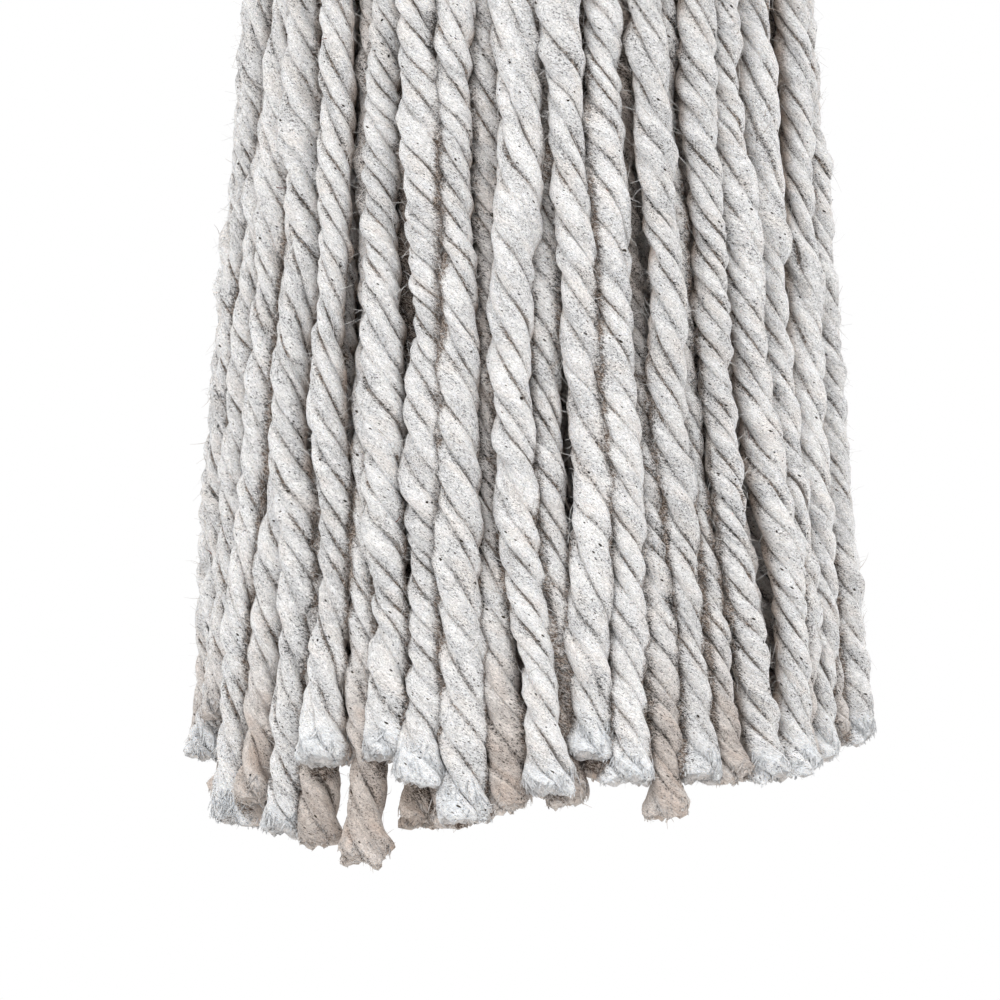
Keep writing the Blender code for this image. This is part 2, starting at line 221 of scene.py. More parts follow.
def along_spline(values, at):
    """Values at evenly spaced knots, read along a smooth curve through them at fractional places."""
    last = len(values) - 1
    low = np.clip(np.floor(at).astype(int), 0, last - 1)
    t = np.clip(at - low, 0, 1)
    before, after = np.maximum(low - 1, 0), np.minimum(low + 2, last)
    p0, p1, p2, p3 = values[before], values[low], values[low + 1], values[after]
    return 0.5 * (
        2 * p1 + (p2 - p0) * t + (2 * p0 - 5 * p1 + 4 * p2 - p3) * t**2
        + (3 * p1 - p0 - 3 * p2 + p3) * t**3
    )


def drift(rng, count, step, over):
    """Smooth random values of spread 1, one each step, that change over a length of about over."""
    at = np.arange(count) * step / over + rng.random()
    knots = rng.standard_normal(int(at[-1]) + 3)
    low = at.astype(int)
    t = at - low
    t = t * t * (3 - 2 * t)
    return knots[low] * (1 - t) + knots[low + 1] * t


def centreline(route, end, step, rng, sway=0.85 * MM):
    """Points down the middle of a yarn, from inside the bell to its cut end, a step apart."""
    at = np.linspace(-TUCK, YARN_DROP - end, round((YARN_DROP - end + TUCK) / step) + 1)
    places = at / YARN_DROP * (LEVELS - 1)
    free = np.clip(at / 0.06, 0, 1)
    count = len(at)
    x = along_spline(route[:, 0], places) + sway * free * drift(rng, count, step, 0.03)
    y = along_spline(route[:, 1], places) + sway * free * drift(rng, count, step, 0.03)
    return np.column_stack((x, y, RIM_Z - at))


# ---------------- yarn surface

def blurred(values, along, across):
    """White noise smoothed along and around a yarn, brought back to a spread of 1."""
    for _ in range(along):
        values = (np.roll(values, 1, 0) + values + np.roll(values, -1, 0)) / 3
    for _ in range(across):
        values = (np.roll(values, 1, 1) + 2 * values + np.roll(values, -1, 1)) / 4
    return values / values.std()


def ply_reach(angle, centre, offset, radius):
    """How far a ply's surface is from the yarn's middle in a direction."""
    turned_by = angle - centre
    inside = radius**2 - (offset * np.sin(turned_by)) ** 2
    return offset * np.cos(turned_by) + np.sqrt(np.maximum(inside, (0.25 * radius) ** 2))


def ply_borders(centres, offset, radii):
    """Angle of the crease after each ply, where it meets the next one."""
    following = np.roll(centres, -1, axis=1)
    following[:, -1] += 2 * math.pi
    next_radii = np.roll(radii, -1, axis=1)
    low, high = centres.copy(), following.copy()
    for _ in range(8):
        middle = (low + high) / 2
        first = ply_reach(middle, centres, offset, radii)
        second = ply_reach(middle, following, offset, next_radii)
        low = np.where(first > second, middle, low)
        high = np.where(first > second, high, middle)
    return (low + high) / 2


def unit(vectors):
    return vectors / np.maximum(np.linalg.norm(vectors, axis=-1, keepdims=True), 1e-9)


def held_near(points, line):
    """Points pulled in to where they are no further from the yarn's middle than its loosest fibre."""
    z = np.clip(points[..., 2], line[-1, 2], line[0, 2])
    middle = [np.interp(-z, -line[:, 2], line[:, k]) for k in (0, 1)]
    middle = np.stack((*middle, z), axis=-1)
    away = points - middle
    distance = np.linalg.norm(away, axis=-1, keepdims=True)
    return middle + away * np.minimum(1, FARTHEST / np.maximum(distance, 1e-9))


def smooth(t):
    t = np.clip(t, 0, 1)
    return t * t * (3 - 2 * t)


def twisted(line, step, rng, per_ply, radius, tuft, flare):
    """Points, painted crease shade, openness and strand coordinates of a four-ply yarn with S twist.

    Its columns follow the plies, so each crease lies along a column. Where the yarn is thick it has less
    twist and its plies merge. Over the tuft's length the plies open into a flared brush.
    """
    count = len(line)

    def drifts(over):
        return np.stack([drift(rng, count, step, over) for _ in range(PLIES)], axis=1)

    tangent = unit(np.gradient(line, axis=0))
    side = unit(np.array((1.0, 0, 0)) - tangent * tangent[:, :1])
    front = np.cross(tangent, side)
    thick = 0.98 + 0.10 * drift(rng, count, step, 0.024) + 0.05 * drift(rng, count, step, 0.009)
    thick = np.clip(thick, 0.82, 1.17)
    merged = smooth((thick - 1.0) / 0.25 + 0.2 * drift(rng, count, step, 0.02))
    lay = LAY * rng.uniform(0.92, 1.28) * thick**1.5
    twist = rng.random() * 2 * math.pi - np.cumsum(2 * math.pi * step / lay)
    centres = twist[:, None] + np.arange(PLIES) * 2 * math.pi / PLIES + 0.22 * drifts(0.014)
    slubs = drifts(0.008)
    to_end = np.arange(count)[::-1] * step
    opened = smooth(1 - to_end / tuft)
    wide = radius * thick * (1 - opened) + radius * (1 + flare * np.clip(1 - to_end / tuft, 0, 1)) * opened
    offset = (wide * (0.48 - 0.10 * merged))[:, None]
    radii = (wide * (0.54 + 0.09 * merged))[:, None] * (1 + 0.18 * slubs)
    radii = np.clip(radii, 0.40 * radius, None)
    ends = ply_borders(centres, offset, radii)
    starts = np.roll(ends, 1, axis=1)
    starts[:, 0] -= 2 * math.pi
    share = (1 - np.cos(np.pi * np.arange(per_ply) / per_ply)) / 2
    angle = starts[..., None] + (ends - starts)[..., None] * share
    reach = ply_reach(angle, centres[..., None], offset[..., None], radii[..., None])
    to_crease = np.minimum(share, 1 - share) * (ends - starts)[..., None] * radius
    strength = np.clip(0.72 + 0.55 * drifts(0.0045), 0, 1) * (1 - 0.4 * merged[:, None])
    strength = np.where(share < 0.5, np.roll(strength, 1, axis=1)[..., None], strength[..., None])
    # crease: how dark shade is painted along each crease between plies, broken up at random; cut also deepens
    # the crease in the shape.
    crease = np.exp(-((to_crease / (0.5 * MM)) ** 2)) * strength
    cut = np.exp(-((to_crease / (0.35 * MM)) ** 2)) * (0.3 + 0.7 * strength)
    columns = PLIES * per_ply
    angle, reach, crease, cut = (a.reshape(count, columns) for a in (angle, reach, crease, cut))
    reach = reach - 0.22 * MM * cut
    for height, spread_along, spread_across in ((0.12, 12, 2), (0.14, 4, 1), (0.07, 1, 0)):
        lumps = blurred(rng.standard_normal((count, columns)), spread_along, spread_across)
        reach += height * MM * lumps
    brush = np.repeat(rng.standard_normal((1, columns)), count, 0)
    reach += 0.22 * MM * opened[:, None] * brush
    rounding = np.clip(1 - to_end / (1.8 * MM), 0, 1)[:, None]
    reach *= np.sqrt(1 - (0.55 * rounding) ** 2)
    points = line[:, None] + (reach * np.cos(angle))[..., None] * side[:, None]
    points += (reach * np.sin(angle))[..., None] * front[:, None]
    ply_length = np.repeat(rng.uniform(-1.5, 1.0, PLIES), per_ply)
    ply_length *= np.tile(np.sin(np.pi * share) ** 0.5, PLIES)
    ragged = np.clip(1 - to_end / (6 * MM), 0, 1)[:, None]
    ragged = ragged * (ply_length + 0.25 * np.roll(brush, 5, 1)) * MM
    points = held_near(points + ragged[..., None] * tangent[:, None], line)
    across = (angle - twist[:, None]) * radius
    along = np.repeat((np.arange(count) * step)[:, None], columns, 1)
    strand = np.stack((across, along, np.full_like(across, rng.random() * 9)), axis=2)
    return points, crease * (1 - 0.5 * opened[:, None]), np.repeat(opened[:, None], columns, 1), strand


# ---------------- meshes from arrays

def flat(parts, kind=np.float32):
    return np.concatenate(parts).astype(kind).ravel()


class Batch:
    """Vertices, faces and point attributes that are gathered for one mesh."""

    def __init__(self, inside=0.0):
        self.points, self.faces, self.slots, self.strand = [], [], [], []
        self.values = {"crease": [], "opened": [], "inside": []}
        self.count = 0
        # inside: how much painted shade a yarn gets, from 0 at the outside of the bunch to 1 deep inside.
        self.inside = inside

    def add(self, points, faces, slot, crease=0.0, opened=1.0, strand=None, inside=None):
        total = len(points)
        self.points.append(points)
        inside = self.inside if inside is None else inside
        for label, value in (("crease", crease), ("opened", opened), ("inside", inside)):
            self.values[label].append(np.broadcast_to(value, total))
        self.strand.append(np.zeros((total, 3)) if strand is None else strand)
        for group in faces:
            self.faces.append(np.asarray(group) + self.count)
            self.slots.append(np.full(len(group), slot))
        self.count += total

    def mesh(self, name):
        mesh = bpy.data.meshes.new(name)
        mesh.vertices.add(self.count)
        mesh.vertices.foreach_set("co", flat(self.points))
        sizes = np.concatenate([np.full(len(g), g.shape[1]) for g in self.faces])
        mesh.loops.add(int(sizes.sum()))
        mesh.loops.foreach_set("vertex_index", flat([g.ravel() for g in self.faces], np.int32))
        mesh.polygons.add(len(sizes))
        starts = np.concatenate(([0], np.cumsum(sizes)[:-1])).astype(np.int32)
        mesh.polygons.foreach_set("loop_start", starts)
        mesh.polygons.foreach_set("material_index", flat(self.slots, np.int32))
        mesh.update(calc_edges=True)
        for label, values in self.values.items():
            layer = mesh.attributes.new(label, "FLOAT", "POINT")
            layer.data.foreach_set("value", flat(values))
        layer = mesh.attributes.new("strand", "FLOAT_VECTOR", "POINT")
        layer.data.foreach_set("vector", flat(self.strand))
        mesh.shade_smooth()
        return mesh


def grid_faces(rows, columns):
    """Quads of a tube's surface, from a grid that closes around its columns."""
    row, column = np.meshgrid(np.arange(rows - 1), np.arange(columns), indexing="ij")
    after = (column + 1) % columns
    quads = (row * columns + column, (row + 1) * columns + column)
    quads += ((row + 1) * columns + after, row * columns + after)
    return np.stack([q.ravel() for q in quads], axis=1)


def fan_faces(first, centre, columns, flipped):
    """Triangles from a ring of points to one point in its middle."""
    ring = first + np.arange(columns)
    after = first + (np.arange(columns) + 1) % columns
    middle = np.full(columns, centre)
    return np.stack((after, ring, middle) if flipped else (ring, after, middle), axis=1)


def painted_inward_shade(points, line):
    """From 0 on the side of a yarn that faces out of the bunch to 1 on the side that faces its middle, where
    shade is painted.
    """
    outward = unit(line * (1, 1, 0))
    facing = ((points - line[:, None]) * outward[:, None]).sum(2) / YARN_RADIUS
    return smooth((0.15 - facing) / 0.7)


def pressed(points, neighbours, rng):
    """From 0 on open parts of a yarn's surface to 1 in the dark gap where another yarn presses on it: a mask
    for shade painted into that gap.
    """
    z = points[..., 2]
    closest = np.ones(z.shape)
    for line in neighbours:
        x, y = (np.interp(-z, -line[:, 2], line[:, k]) for k in (0, 1))
        past_end = np.maximum(line[-1, 2] - z, 0)
        distance = np.sqrt((points[..., 0] - x) ** 2 + (points[..., 1] - y) ** 2 + past_end**2)
        closest = np.minimum(closest, distance)
    strength = 0.95 + 0.25 * drift(rng, len(points), RING_STEP, 0.012)
    strength *= 0.6 + 0.4 * smooth((RIM_Z - z[:, 0] - 0.130) / 0.04)
    return smooth((YARN_RADIUS + 1.5 * MM - closest) / (1.1 * MM)) * np.clip(strength, 0.3, 1)[:, None]


def add_tube(batch, line, made, rng, depth, neighbours=(), dark=0.0):
    """Adds a yarn's surface with a flat top and an uneven cut end."""
    points, crease, opened, strand = made
    rows, columns = points.shape[:2]
    # Painted shade: hidden and inside make a yarn browner and darker on its inward side and deeper in the
    # bunch.
    hidden = painted_inward_shade(points, line)
    inside = np.maximum(hidden, np.broadcast_to(depth, rows)[:, None])
    # Painted shade: gap darkens the colour where yarns press and behind narrow gaps, kept off the inward side
    # and added to the crease shade.
    gap = np.maximum(pressed(points, neighbours, rng), np.broadcast_to(dark, rows)[:, None])
    crease = np.maximum(crease, gap * (1 - smooth(2 * hidden - 1)))
    last = points[-1]
    middle = last.mean(0)
    down = unit(middle - points[-2].mean(0))
    rings = [points.reshape(-1, 3)]
    for inward, below in ((0.80, 0.35), (0.52, 0.5), (0.25, 0.5)):
        bumps = rng.standard_normal(columns) * 0.3 * MM
        rings.append(middle + (last - middle) * inward + down * (below * MM + bumps)[:, None])
    everything = np.concatenate((*rings, points[0].mean(0)[None], (middle + down * 0.5 * MM)[None]))
    extra = len(everything) - rows * columns
    total = (rows + 3) * columns
    faces = [
        grid_faces(rows + 3, columns),
        fan_faces(0, total, columns, False),
        fan_faces(total - columns, total + 1, columns, True),
    ]
    end_strand = np.repeat(strand[-1, :1], extra, 0) + rng.random((extra, 3)) * MM
    batch.add(
        everything,
        faces,
        0,
        np.concatenate((crease.ravel(), np.zeros(extra))),
        np.concatenate((opened.ravel(), np.ones(extra))),
        np.concatenate((strand.reshape(-1, 3), end_strand)),
        np.concatenate((inside.ravel(), np.full(extra, inside[-1].mean()))),
    )


def add_fibres(batch, line, roots, directions, bends, lengths, width, slot, rng, segments=3):
    """Adds curved ribbons, one fibre for each root, which narrow towards their free ends."""
    t = np.linspace(0, 1, segments + 1)[None, :, None]
    spine = roots[:, None] + (directions[:, None] * t + bends[:, None] * t**2) * lengths[:, None, None]
    facing = unit(np.cross(directions, unit(rng.standard_normal(roots.shape))))
    half = facing[:, None] * width / 2 * (1 - 0.65 * t)
    points = held_near(np.stack((spine - half, spine + half), axis=2).reshape(-1, 3), line)
    per = 2 * (segments + 1)
    start = (np.arange(len(roots)) * per)[:, None]
    step = 2 * np.arange(segments)[None]
    corners = (start + step, start + step + 1, start + step + 3, start + step + 2)
    batch.add(points, [np.stack([c.ravel() for c in corners], axis=1)], slot)


def picked(points, line, rng, amount, margins):
    """Random rows of a yarn's surface, the points picked there and their outward directions."""
    at = rng.integers(margins[0], len(points) - margins[1], amount)
    places = points[at, rng.integers(0, points.shape[1], amount)]
    return at, places, unit(places - line[at])


def add_fuzz(batch, line, points, rng, amount, slot, lengths=(0.6, 2.8), width=0.09 * MM):
    """Fine curled fibres that stand off a yarn's surface, most of them close to it."""
    at, roots, outward = picked(points, line, rng, amount, (2, 1))
    downward = unit(line[at] - line[at - 1])
    around = np.cross(outward, downward)
    mix = rng.standard_normal((amount, 3))
    directions = unit(
        outward * (0.25 + 0.35 * np.abs(mix[:, :1])) + downward * mix[:, 1:2] + around * mix[:, 2:]
    )
    bends = 0.8 * unit(rng.standard_normal((amount, 3))) - 0.25 * outward
    near_end = np.clip((len(line) - at) / (0.05 * len(line)), 0.3, 1)
    reach = rng.uniform(*lengths, amount) * near_end * MM
    add_fibres(batch, line, roots, directions, bends, reach, width, slot, rng)


def add_tuft(batch, line, points, rng, tuft, amount, sides=4, rings=5):
    """Thin wisps that lie on an opened end and follow its flare."""
    rows, columns = points.shape[:2]
    step = np.linalg.norm(line[-1] - line[-2])
    reach = max(2, int(tuft / step * 0.6))
    at = rows - 1 - (rng.random(amount) * reach).astype(int)
    out_to = points[at, rng.integers(0, columns, amount)] - line[at]
    roots = line[at] + out_to * 0.97
    outward = unit(out_to)
    down = unit(line[-1] - line[-4])
    around = np.cross(outward, down)
    directions = unit(down + 0.22 * outward + 0.35 * around * rng.standard_normal((amount, 1)))
    bends = 0.25 * around * rng.standard_normal((amount, 1)) - 0.15 * outward
    below = (roots - line[-1]) @ -down
    lengths = np.clip(below + rng.uniform(-2.0, 0.1, amount) * MM, 0.6 * MM, 2.6 * MM)
    sizes = rng.uniform(0.07, 0.16, amount) * MM
    t = np.linspace(0, 1, rings)
    turn = np.linspace(0, 2 * math.pi, sides, endpoint=False)
    total = rings * sides
    faces = [grid_faces(rings, sides), fan_faces(0, total, sides, False)]
    faces.append(fan_faces(total - sides, total + 1, sides, True))
    swell = np.sin(np.pi * (0.12 + 0.78 * t)) ** 0.6
    for root, way, bend, out, length, size in zip(roots, directions, bends, outward, lengths, sizes):
        middle = root + (way * t[:, None] + bend * t[:, None] ** 2) * length
        across = unit(np.cross(way, out))
        upward = np.cross(across, way)
        ring = np.cos(turn)[:, None] * across * 1.5 + np.sin(turn)[:, None] * upward
        wisp = (middle[:, None] + ring[None] * (size * swell)[:, None, None]).reshape(-1, 3)
        wisp = np.concatenate((wisp, middle[:1], middle[-1:] + way * 0.1 * MM))
        around_wisp, along = np.tile(turn * size, rings), np.repeat(t * length, sides)
        strand = np.stack((around_wisp, along, np.full(total, rng.random() * 9)), axis=1)
        strand = np.concatenate((strand, strand[:1], strand[-1:]))
        batch.add(held_near(wisp, line), faces, 0, 0.0, 0.8 + 0.2 * rng.random(), strand)


def add_ends(batch, line, points, rng, amount):
    """Short loose fibres on the cut face of an opened end and around its rim."""
    inward = np.sqrt(rng.random(amount))[:, None]
    rim = points[-1 - rng.integers(0, 4, amount), rng.integers(0, points.shape[1], amount)]
    down = unit(line[-1] - line[-4])
    roots = line[-1] + (rim - line[-1]) * inward
    outward = unit(rim - line[-1]) * inward
    directions = unit(0.6 * down + 0.6 * outward + 0.6 * rng.standard_normal((amount, 3)))
    bends = 0.8 * rng.standard_normal((amount, 3))
    lengths = rng.uniform(0.15, 0.6, amount) * MM
    add_fibres(batch, line, roots, directions, bends, lengths, 0.15 * MM, 1, rng)


def add_litter(batch, line, points, rng, hairs, flakes):
    """Reddish-brown plant hairs and dark flecks of seed husk, which cling to the yarn."""
    _, places, outward = picked(points, line, rng, hairs, (4, 8))
    roots = places + outward * 0.05 * MM
    directions = unit(np.cross(outward, unit(rng.standard_normal((hairs, 3)))))
    bends = 0.5 * unit(np.cross(outward, directions)) - 0.15 * outward
    reach = rng.uniform(1.2, 3.4, hairs) * MM
    add_fibres(batch, line, roots, directions, bends, reach, 0.16 * MM, 2, rng, segments=6)
    _, places, outward = picked(points, line, rng, flakes, (4, 4))
    for centre, normal in zip(places + outward * 0.04 * MM, outward):
        along = unit(np.cross(normal, rng.standard_normal(3)))
        across = np.cross(normal, along)
        size = rng.uniform(0.09, 0.26) * MM
        turn = np.arange(6) * math.pi / 3
        rim = size * (1 + 0.3 * rng.standard_normal(6))[:, None]
        rim = rim * (np.cos(turn)[:, None] * along * 1.3 + np.sin(turn)[:, None] * across)
        corners = np.concatenate((centre + rim, (centre + normal * 0.10 * MM)[None]))
        batch.add(corners, [fan_faces(0, 6, 6, False)], 3)


def placed(name, data, *surfaces):
    """New object in the scene from a mesh, curve, light or camera, with its materials."""
    for surface in surfaces:
        data.materials.append(surface)
    made = bpy.data.objects.new(name, data)
    bpy.context.scene.collection.objects.link(made)
    return made


def fitted(piece, body, slot, *nodes):
    """Rides a piece on its body in place of the CAD nodes that it stands for."""
    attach(piece, body)
    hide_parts(*nodes)


def in_lock(piece, node):
    """Bakes a yarn piece's transform into its mesh and hides its node, which the piece takes the place of."""
    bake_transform(piece)
    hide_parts(node)


# ---------------- yarns

def add_yarn(batch, line, made, rng, tube, tuft, wisps, ends, fuzz=(), litter=()):
    """A yarn's surface, its end's wisps and cut fibres, its layers of fuzz and its plant litter."""
    points = made[0]
    add_tube(batch, line, made, rng, *tube)
    add_tuft(batch, line, points, rng, tuft, wisps)
    add_ends(batch, line, points, rng, ends)
    for layer in fuzz:
        add_fuzz(batch, line, points, rng, *layer)
    if litter:
        add_litter(batch, line, points, rng, *litter)


def ring_lines(routes):
    """Middles of the ring yarns, from their own seeds."""
    return [
        centreline(route, end + TUFT_REACH, RING_STEP, np.random.default_rng(100 + index))
        for index, (route, end) in enumerate(zip(routes, yarn_ends(routes)))
    ]


def make_ring_yarns(lines, inner, surfaces):
    for index, line in enumerate(lines):
        rng = np.random.default_rng(200 + index)
        neighbours = (lines[index - 1], lines[(index + 1) % YARNS], inner[index - 1], inner[index])
        tuft, flare = rng.uniform(7, 12) * MM, rng.uniform(0.3, 0.62)
        radius = YARN_RADIUS * rng.uniform(0.95, 1.06)
        made = twisted(line, RING_STEP, rng, 9, radius, tuft, flare)
        batch = Batch()
        fuzz = (2200, 1), (260, 4, (0.6, 2.2), 0.10 * MM)
        add_yarn(batch, line, made, rng, (0.0, neighbours), tuft, 170, 800, fuzz, (4, 40))
        name = f"cotton_yarn_{index + 1:02d}"
        piece = placed(name, batch.mesh(name), *surfaces)
        in_lock(piece, f"yarn_{index + 1:02d}")


def inner_route(routes, index):
    """Route of a yarn that presses into the gap between a ring yarn and the next one, and its depth."""
    first, second = routes[index], routes[(index + 1) % YARNS]
    middle = (first + second) / 2
    half_gap = np.linalg.norm(first - second, axis=1) / 2
    depth = np.sqrt(np.maximum(CONTACT**2 - half_gap**2, 0))
    depth = np.convolve(np.pad(depth, 1, mode="edge"), (0.25, 0.5, 0.25), mode="valid")
    reach = np.linalg.norm(middle, axis=1)
    return middle * (1 - depth / reach)[:, None], depth


def sunk(route, depth, drops, rng):
    """Inner yarn's route moved in behind narrow gaps, and by what share of HOLLOW at each level."""
    share = np.clip(0.55 + 1.0 * drift(rng, LEVELS, YARN_DROP / (LEVELS - 1), 0.045), 0, 1)
    share *= smooth((depth - 4.2 * MM) / (0.5 * MM))
    share *= smooth((drops - 0.12) / 0.03) * (1 - smooth((drops - 0.225) / 0.03))
    reach = np.linalg.norm(route, axis=1)
    return route * (1 - HOLLOW * share / reach)[:, None], share


def inner_lines(routes, drops):
    """Middle of each inner yarn, with its depth behind the ring and its share of HOLLOW at every level."""
    lines, depths = [], []
    for index in range(YARNS):
        rng = np.random.default_rng(300 + index)
        route, depth = inner_route(routes, index)
        route, share = sunk(route, depth, drops, rng)
        end = hem(route[-1, 0]) + rng.uniform(0, 4) * MM
        if index < len(INNER_ENDS):
            end = INNER_ENDS[index] * MM
        lines.append(centreline(route, end + TUFT_REACH, INNER_STEP, rng, 0.4 * MM))
        depths.append((depth, share))
    return lines, depths


def make_inner_yarns(ring, lines, depths, surfaces):
    for lock in range(LOCKS):
        batch = Batch()
        for place in range(YARNS_PER_LOCK):
            index = lock * YARNS_PER_LOCK + place
            rng = np.random.default_rng(400 + index)
            line = lines[index]
            drop = RIM_Z - line[:, 2]
            levels = np.linspace(0, YARN_DROP, LEVELS)
            depth, share = (np.interp(drop, levels, values) for values in depths[index])
            # Painted shade: inner yarns are painted browner the deeper they lie and towards their low ends,
            # and dark where they sit behind narrow gaps.
            low_end = 0.8 * smooth((drop - 0.235) / 0.03)
            inside = np.maximum(smooth((depth - 3.4 * MM) / (2.2 * MM)), low_end)
            dark = 0.98 * smooth(share * 1.4)
            following = (index + 1) % YARNS
            neighbours = (ring[index], ring[following], lines[index - 1], lines[following])
            tuft, flare = rng.uniform(6, 11) * MM, rng.uniform(0.25, 0.5)
            made = twisted(line, INNER_STEP, rng, 8, YARN_RADIUS, tuft, flare)
            batch.inside = inside[-1]
            tube = (inside, neighbours, dark)
            add_yarn(batch, line, made, rng, tube, tuft, 90, 600, ((1300, 1),), (2, 14))
        name = f"inner_cotton_{lock + 1}"
        piece = placed(name, batch.mesh(name), *surfaces)
        in_lock(piece, f"inner_yarns_{lock + 1}")


def make_core_yarns(drops, surfaces):
    """The middle of the bunch: rings of yarns one inside the other, down to the axis."""
    rng = np.random.default_rng(500)
    for ring, (count, inset) in enumerate(CORE_RINGS):
        # Core yarns are painted 0.6 of the way to the browner, darker colour of shade deep in the bunch.
        batch = Batch(0.6)
        for place in range(count):
            angle = 2 * math.pi * (place + 0.5 * (ring % 2)) / count
            radii = np.maximum(ring_radius(drops) - inset * MM, 4 * MM)
            route = np.column_stack((radii * math.sin(angle), -radii * math.cos(angle)))
            end = hem(route[-1, 0]) + rng.uniform(1, 8) * MM
            line = centreline(route, end, CORE_STEP, rng)[3:]
            tuft = 9 * MM
            made = twisted(line, CORE_STEP, rng, 6, YARN_RADIUS, tuft, rng.uniform(0.2, 0.4))
            add_yarn(batch, line, made, rng, (0.6,), tuft, 20, 120)
        name = f"core_cotton_{ring + 1}"
        piece = placed(name, batch.mesh(name), *surfaces)
        fitted(piece, "head", "cotton_yarn", "core_yarns")


# ---------------- materials

class Nodes:
    """Short ways to add linked shader nodes to one material."""

    def __init__(self, name):
        self.material = bpy.data.materials.new(name)
        self.material.use_nodes = True
        self.tree = self.material.node_tree
        self.shader = self.tree.nodes["Principled BSDF"]

    @property
    def place(self):
        """Coordinates in the frame's metres."""
        return self.add("TexCoord").outputs["Object"]

    def add(self, kind, sockets=(), **settings):
        node = self.tree.nodes.new(f"ShaderNode{kind}")
        for key, value in settings.items():
            setattr(node, key, value)
        for key, value in dict(sockets).items():
            self.put(node.inputs[key], value)
        return node

    def put(self, socket, value):
        if isinstance(value, bpy.types.NodeSocket):
            self.tree.links.new(value, socket)
        else:
            socket.default_value = value

    def noise(self, vector, scale, detail=2.0, rough=0.5):
        """Noise over a vector, at one scale or at one for each axis."""
        if isinstance(scale, tuple):
            vector, scale = self.stretched(vector, scale), 1.0
        sockets = {"Vector": vector, "Scale": scale, "Detail": detail, "Roughness": rough}
        return self.add("TexNoise", sockets).outputs["Fac"]

    def stretched(self, vector, scale):
        return self.add("Mapping", {"Vector": vector, "Scale": scale}).outputs["Vector"]

    def math(self, operation, first, second=0.5):
        node = self.add("Math", operation=operation)
        self.put(node.inputs[0], first)
        self.put(node.inputs[1], second)
        return node.outputs[0]

    def total(self, first, *others):
        for other in others:
            first = self.math("ADD", first, other)
        return first

    def times(self, first, second):
        return self.math("MULTIPLY", first, second)

    def off_middle(self, value):
        """How far a noise is from its middle value: small along thin, curling lines."""
        return self.math("ABSOLUTE", self.math("SUBTRACT", value, 0.5))

    def ramp(self, value, low, high, start=0.0, end=1.0):
        sockets = {"Value": value, "From Min": low, "From Max": high, "To Min": start, "To Max": end}
        return self.add("MapRange", sockets).outputs["Result"]

    def mix(self, factor, first, second, blend_type="MIX"):
        node = self.add("Mix", data_type="RGBA", blend_type=blend_type)
        for socket, value in zip((node.inputs[0], node.inputs[6], node.inputs[7]), (factor, first, second)):
            self.put(socket, value)
        return node.outputs[2]

    def bump(self, height, strength, distance, normal=None):
        sockets = {"Height": height, "Strength": strength, "Distance": distance}
        if normal is not None:
            sockets["Normal"] = normal
        return self.add("Bump", sockets).outputs["Normal"]

    def attribute(self, name, output="Fac"):
        return self.add("Attribute", attribute_name=name).outputs[output]

    def finish(self, **sockets):
        for key, value in sockets.items():
            self.put(self.shader.inputs[key.replace("_", " ")], value)
        return self.material


def rgb(red, green, blue):
    return (red, green, blue, 1.0)


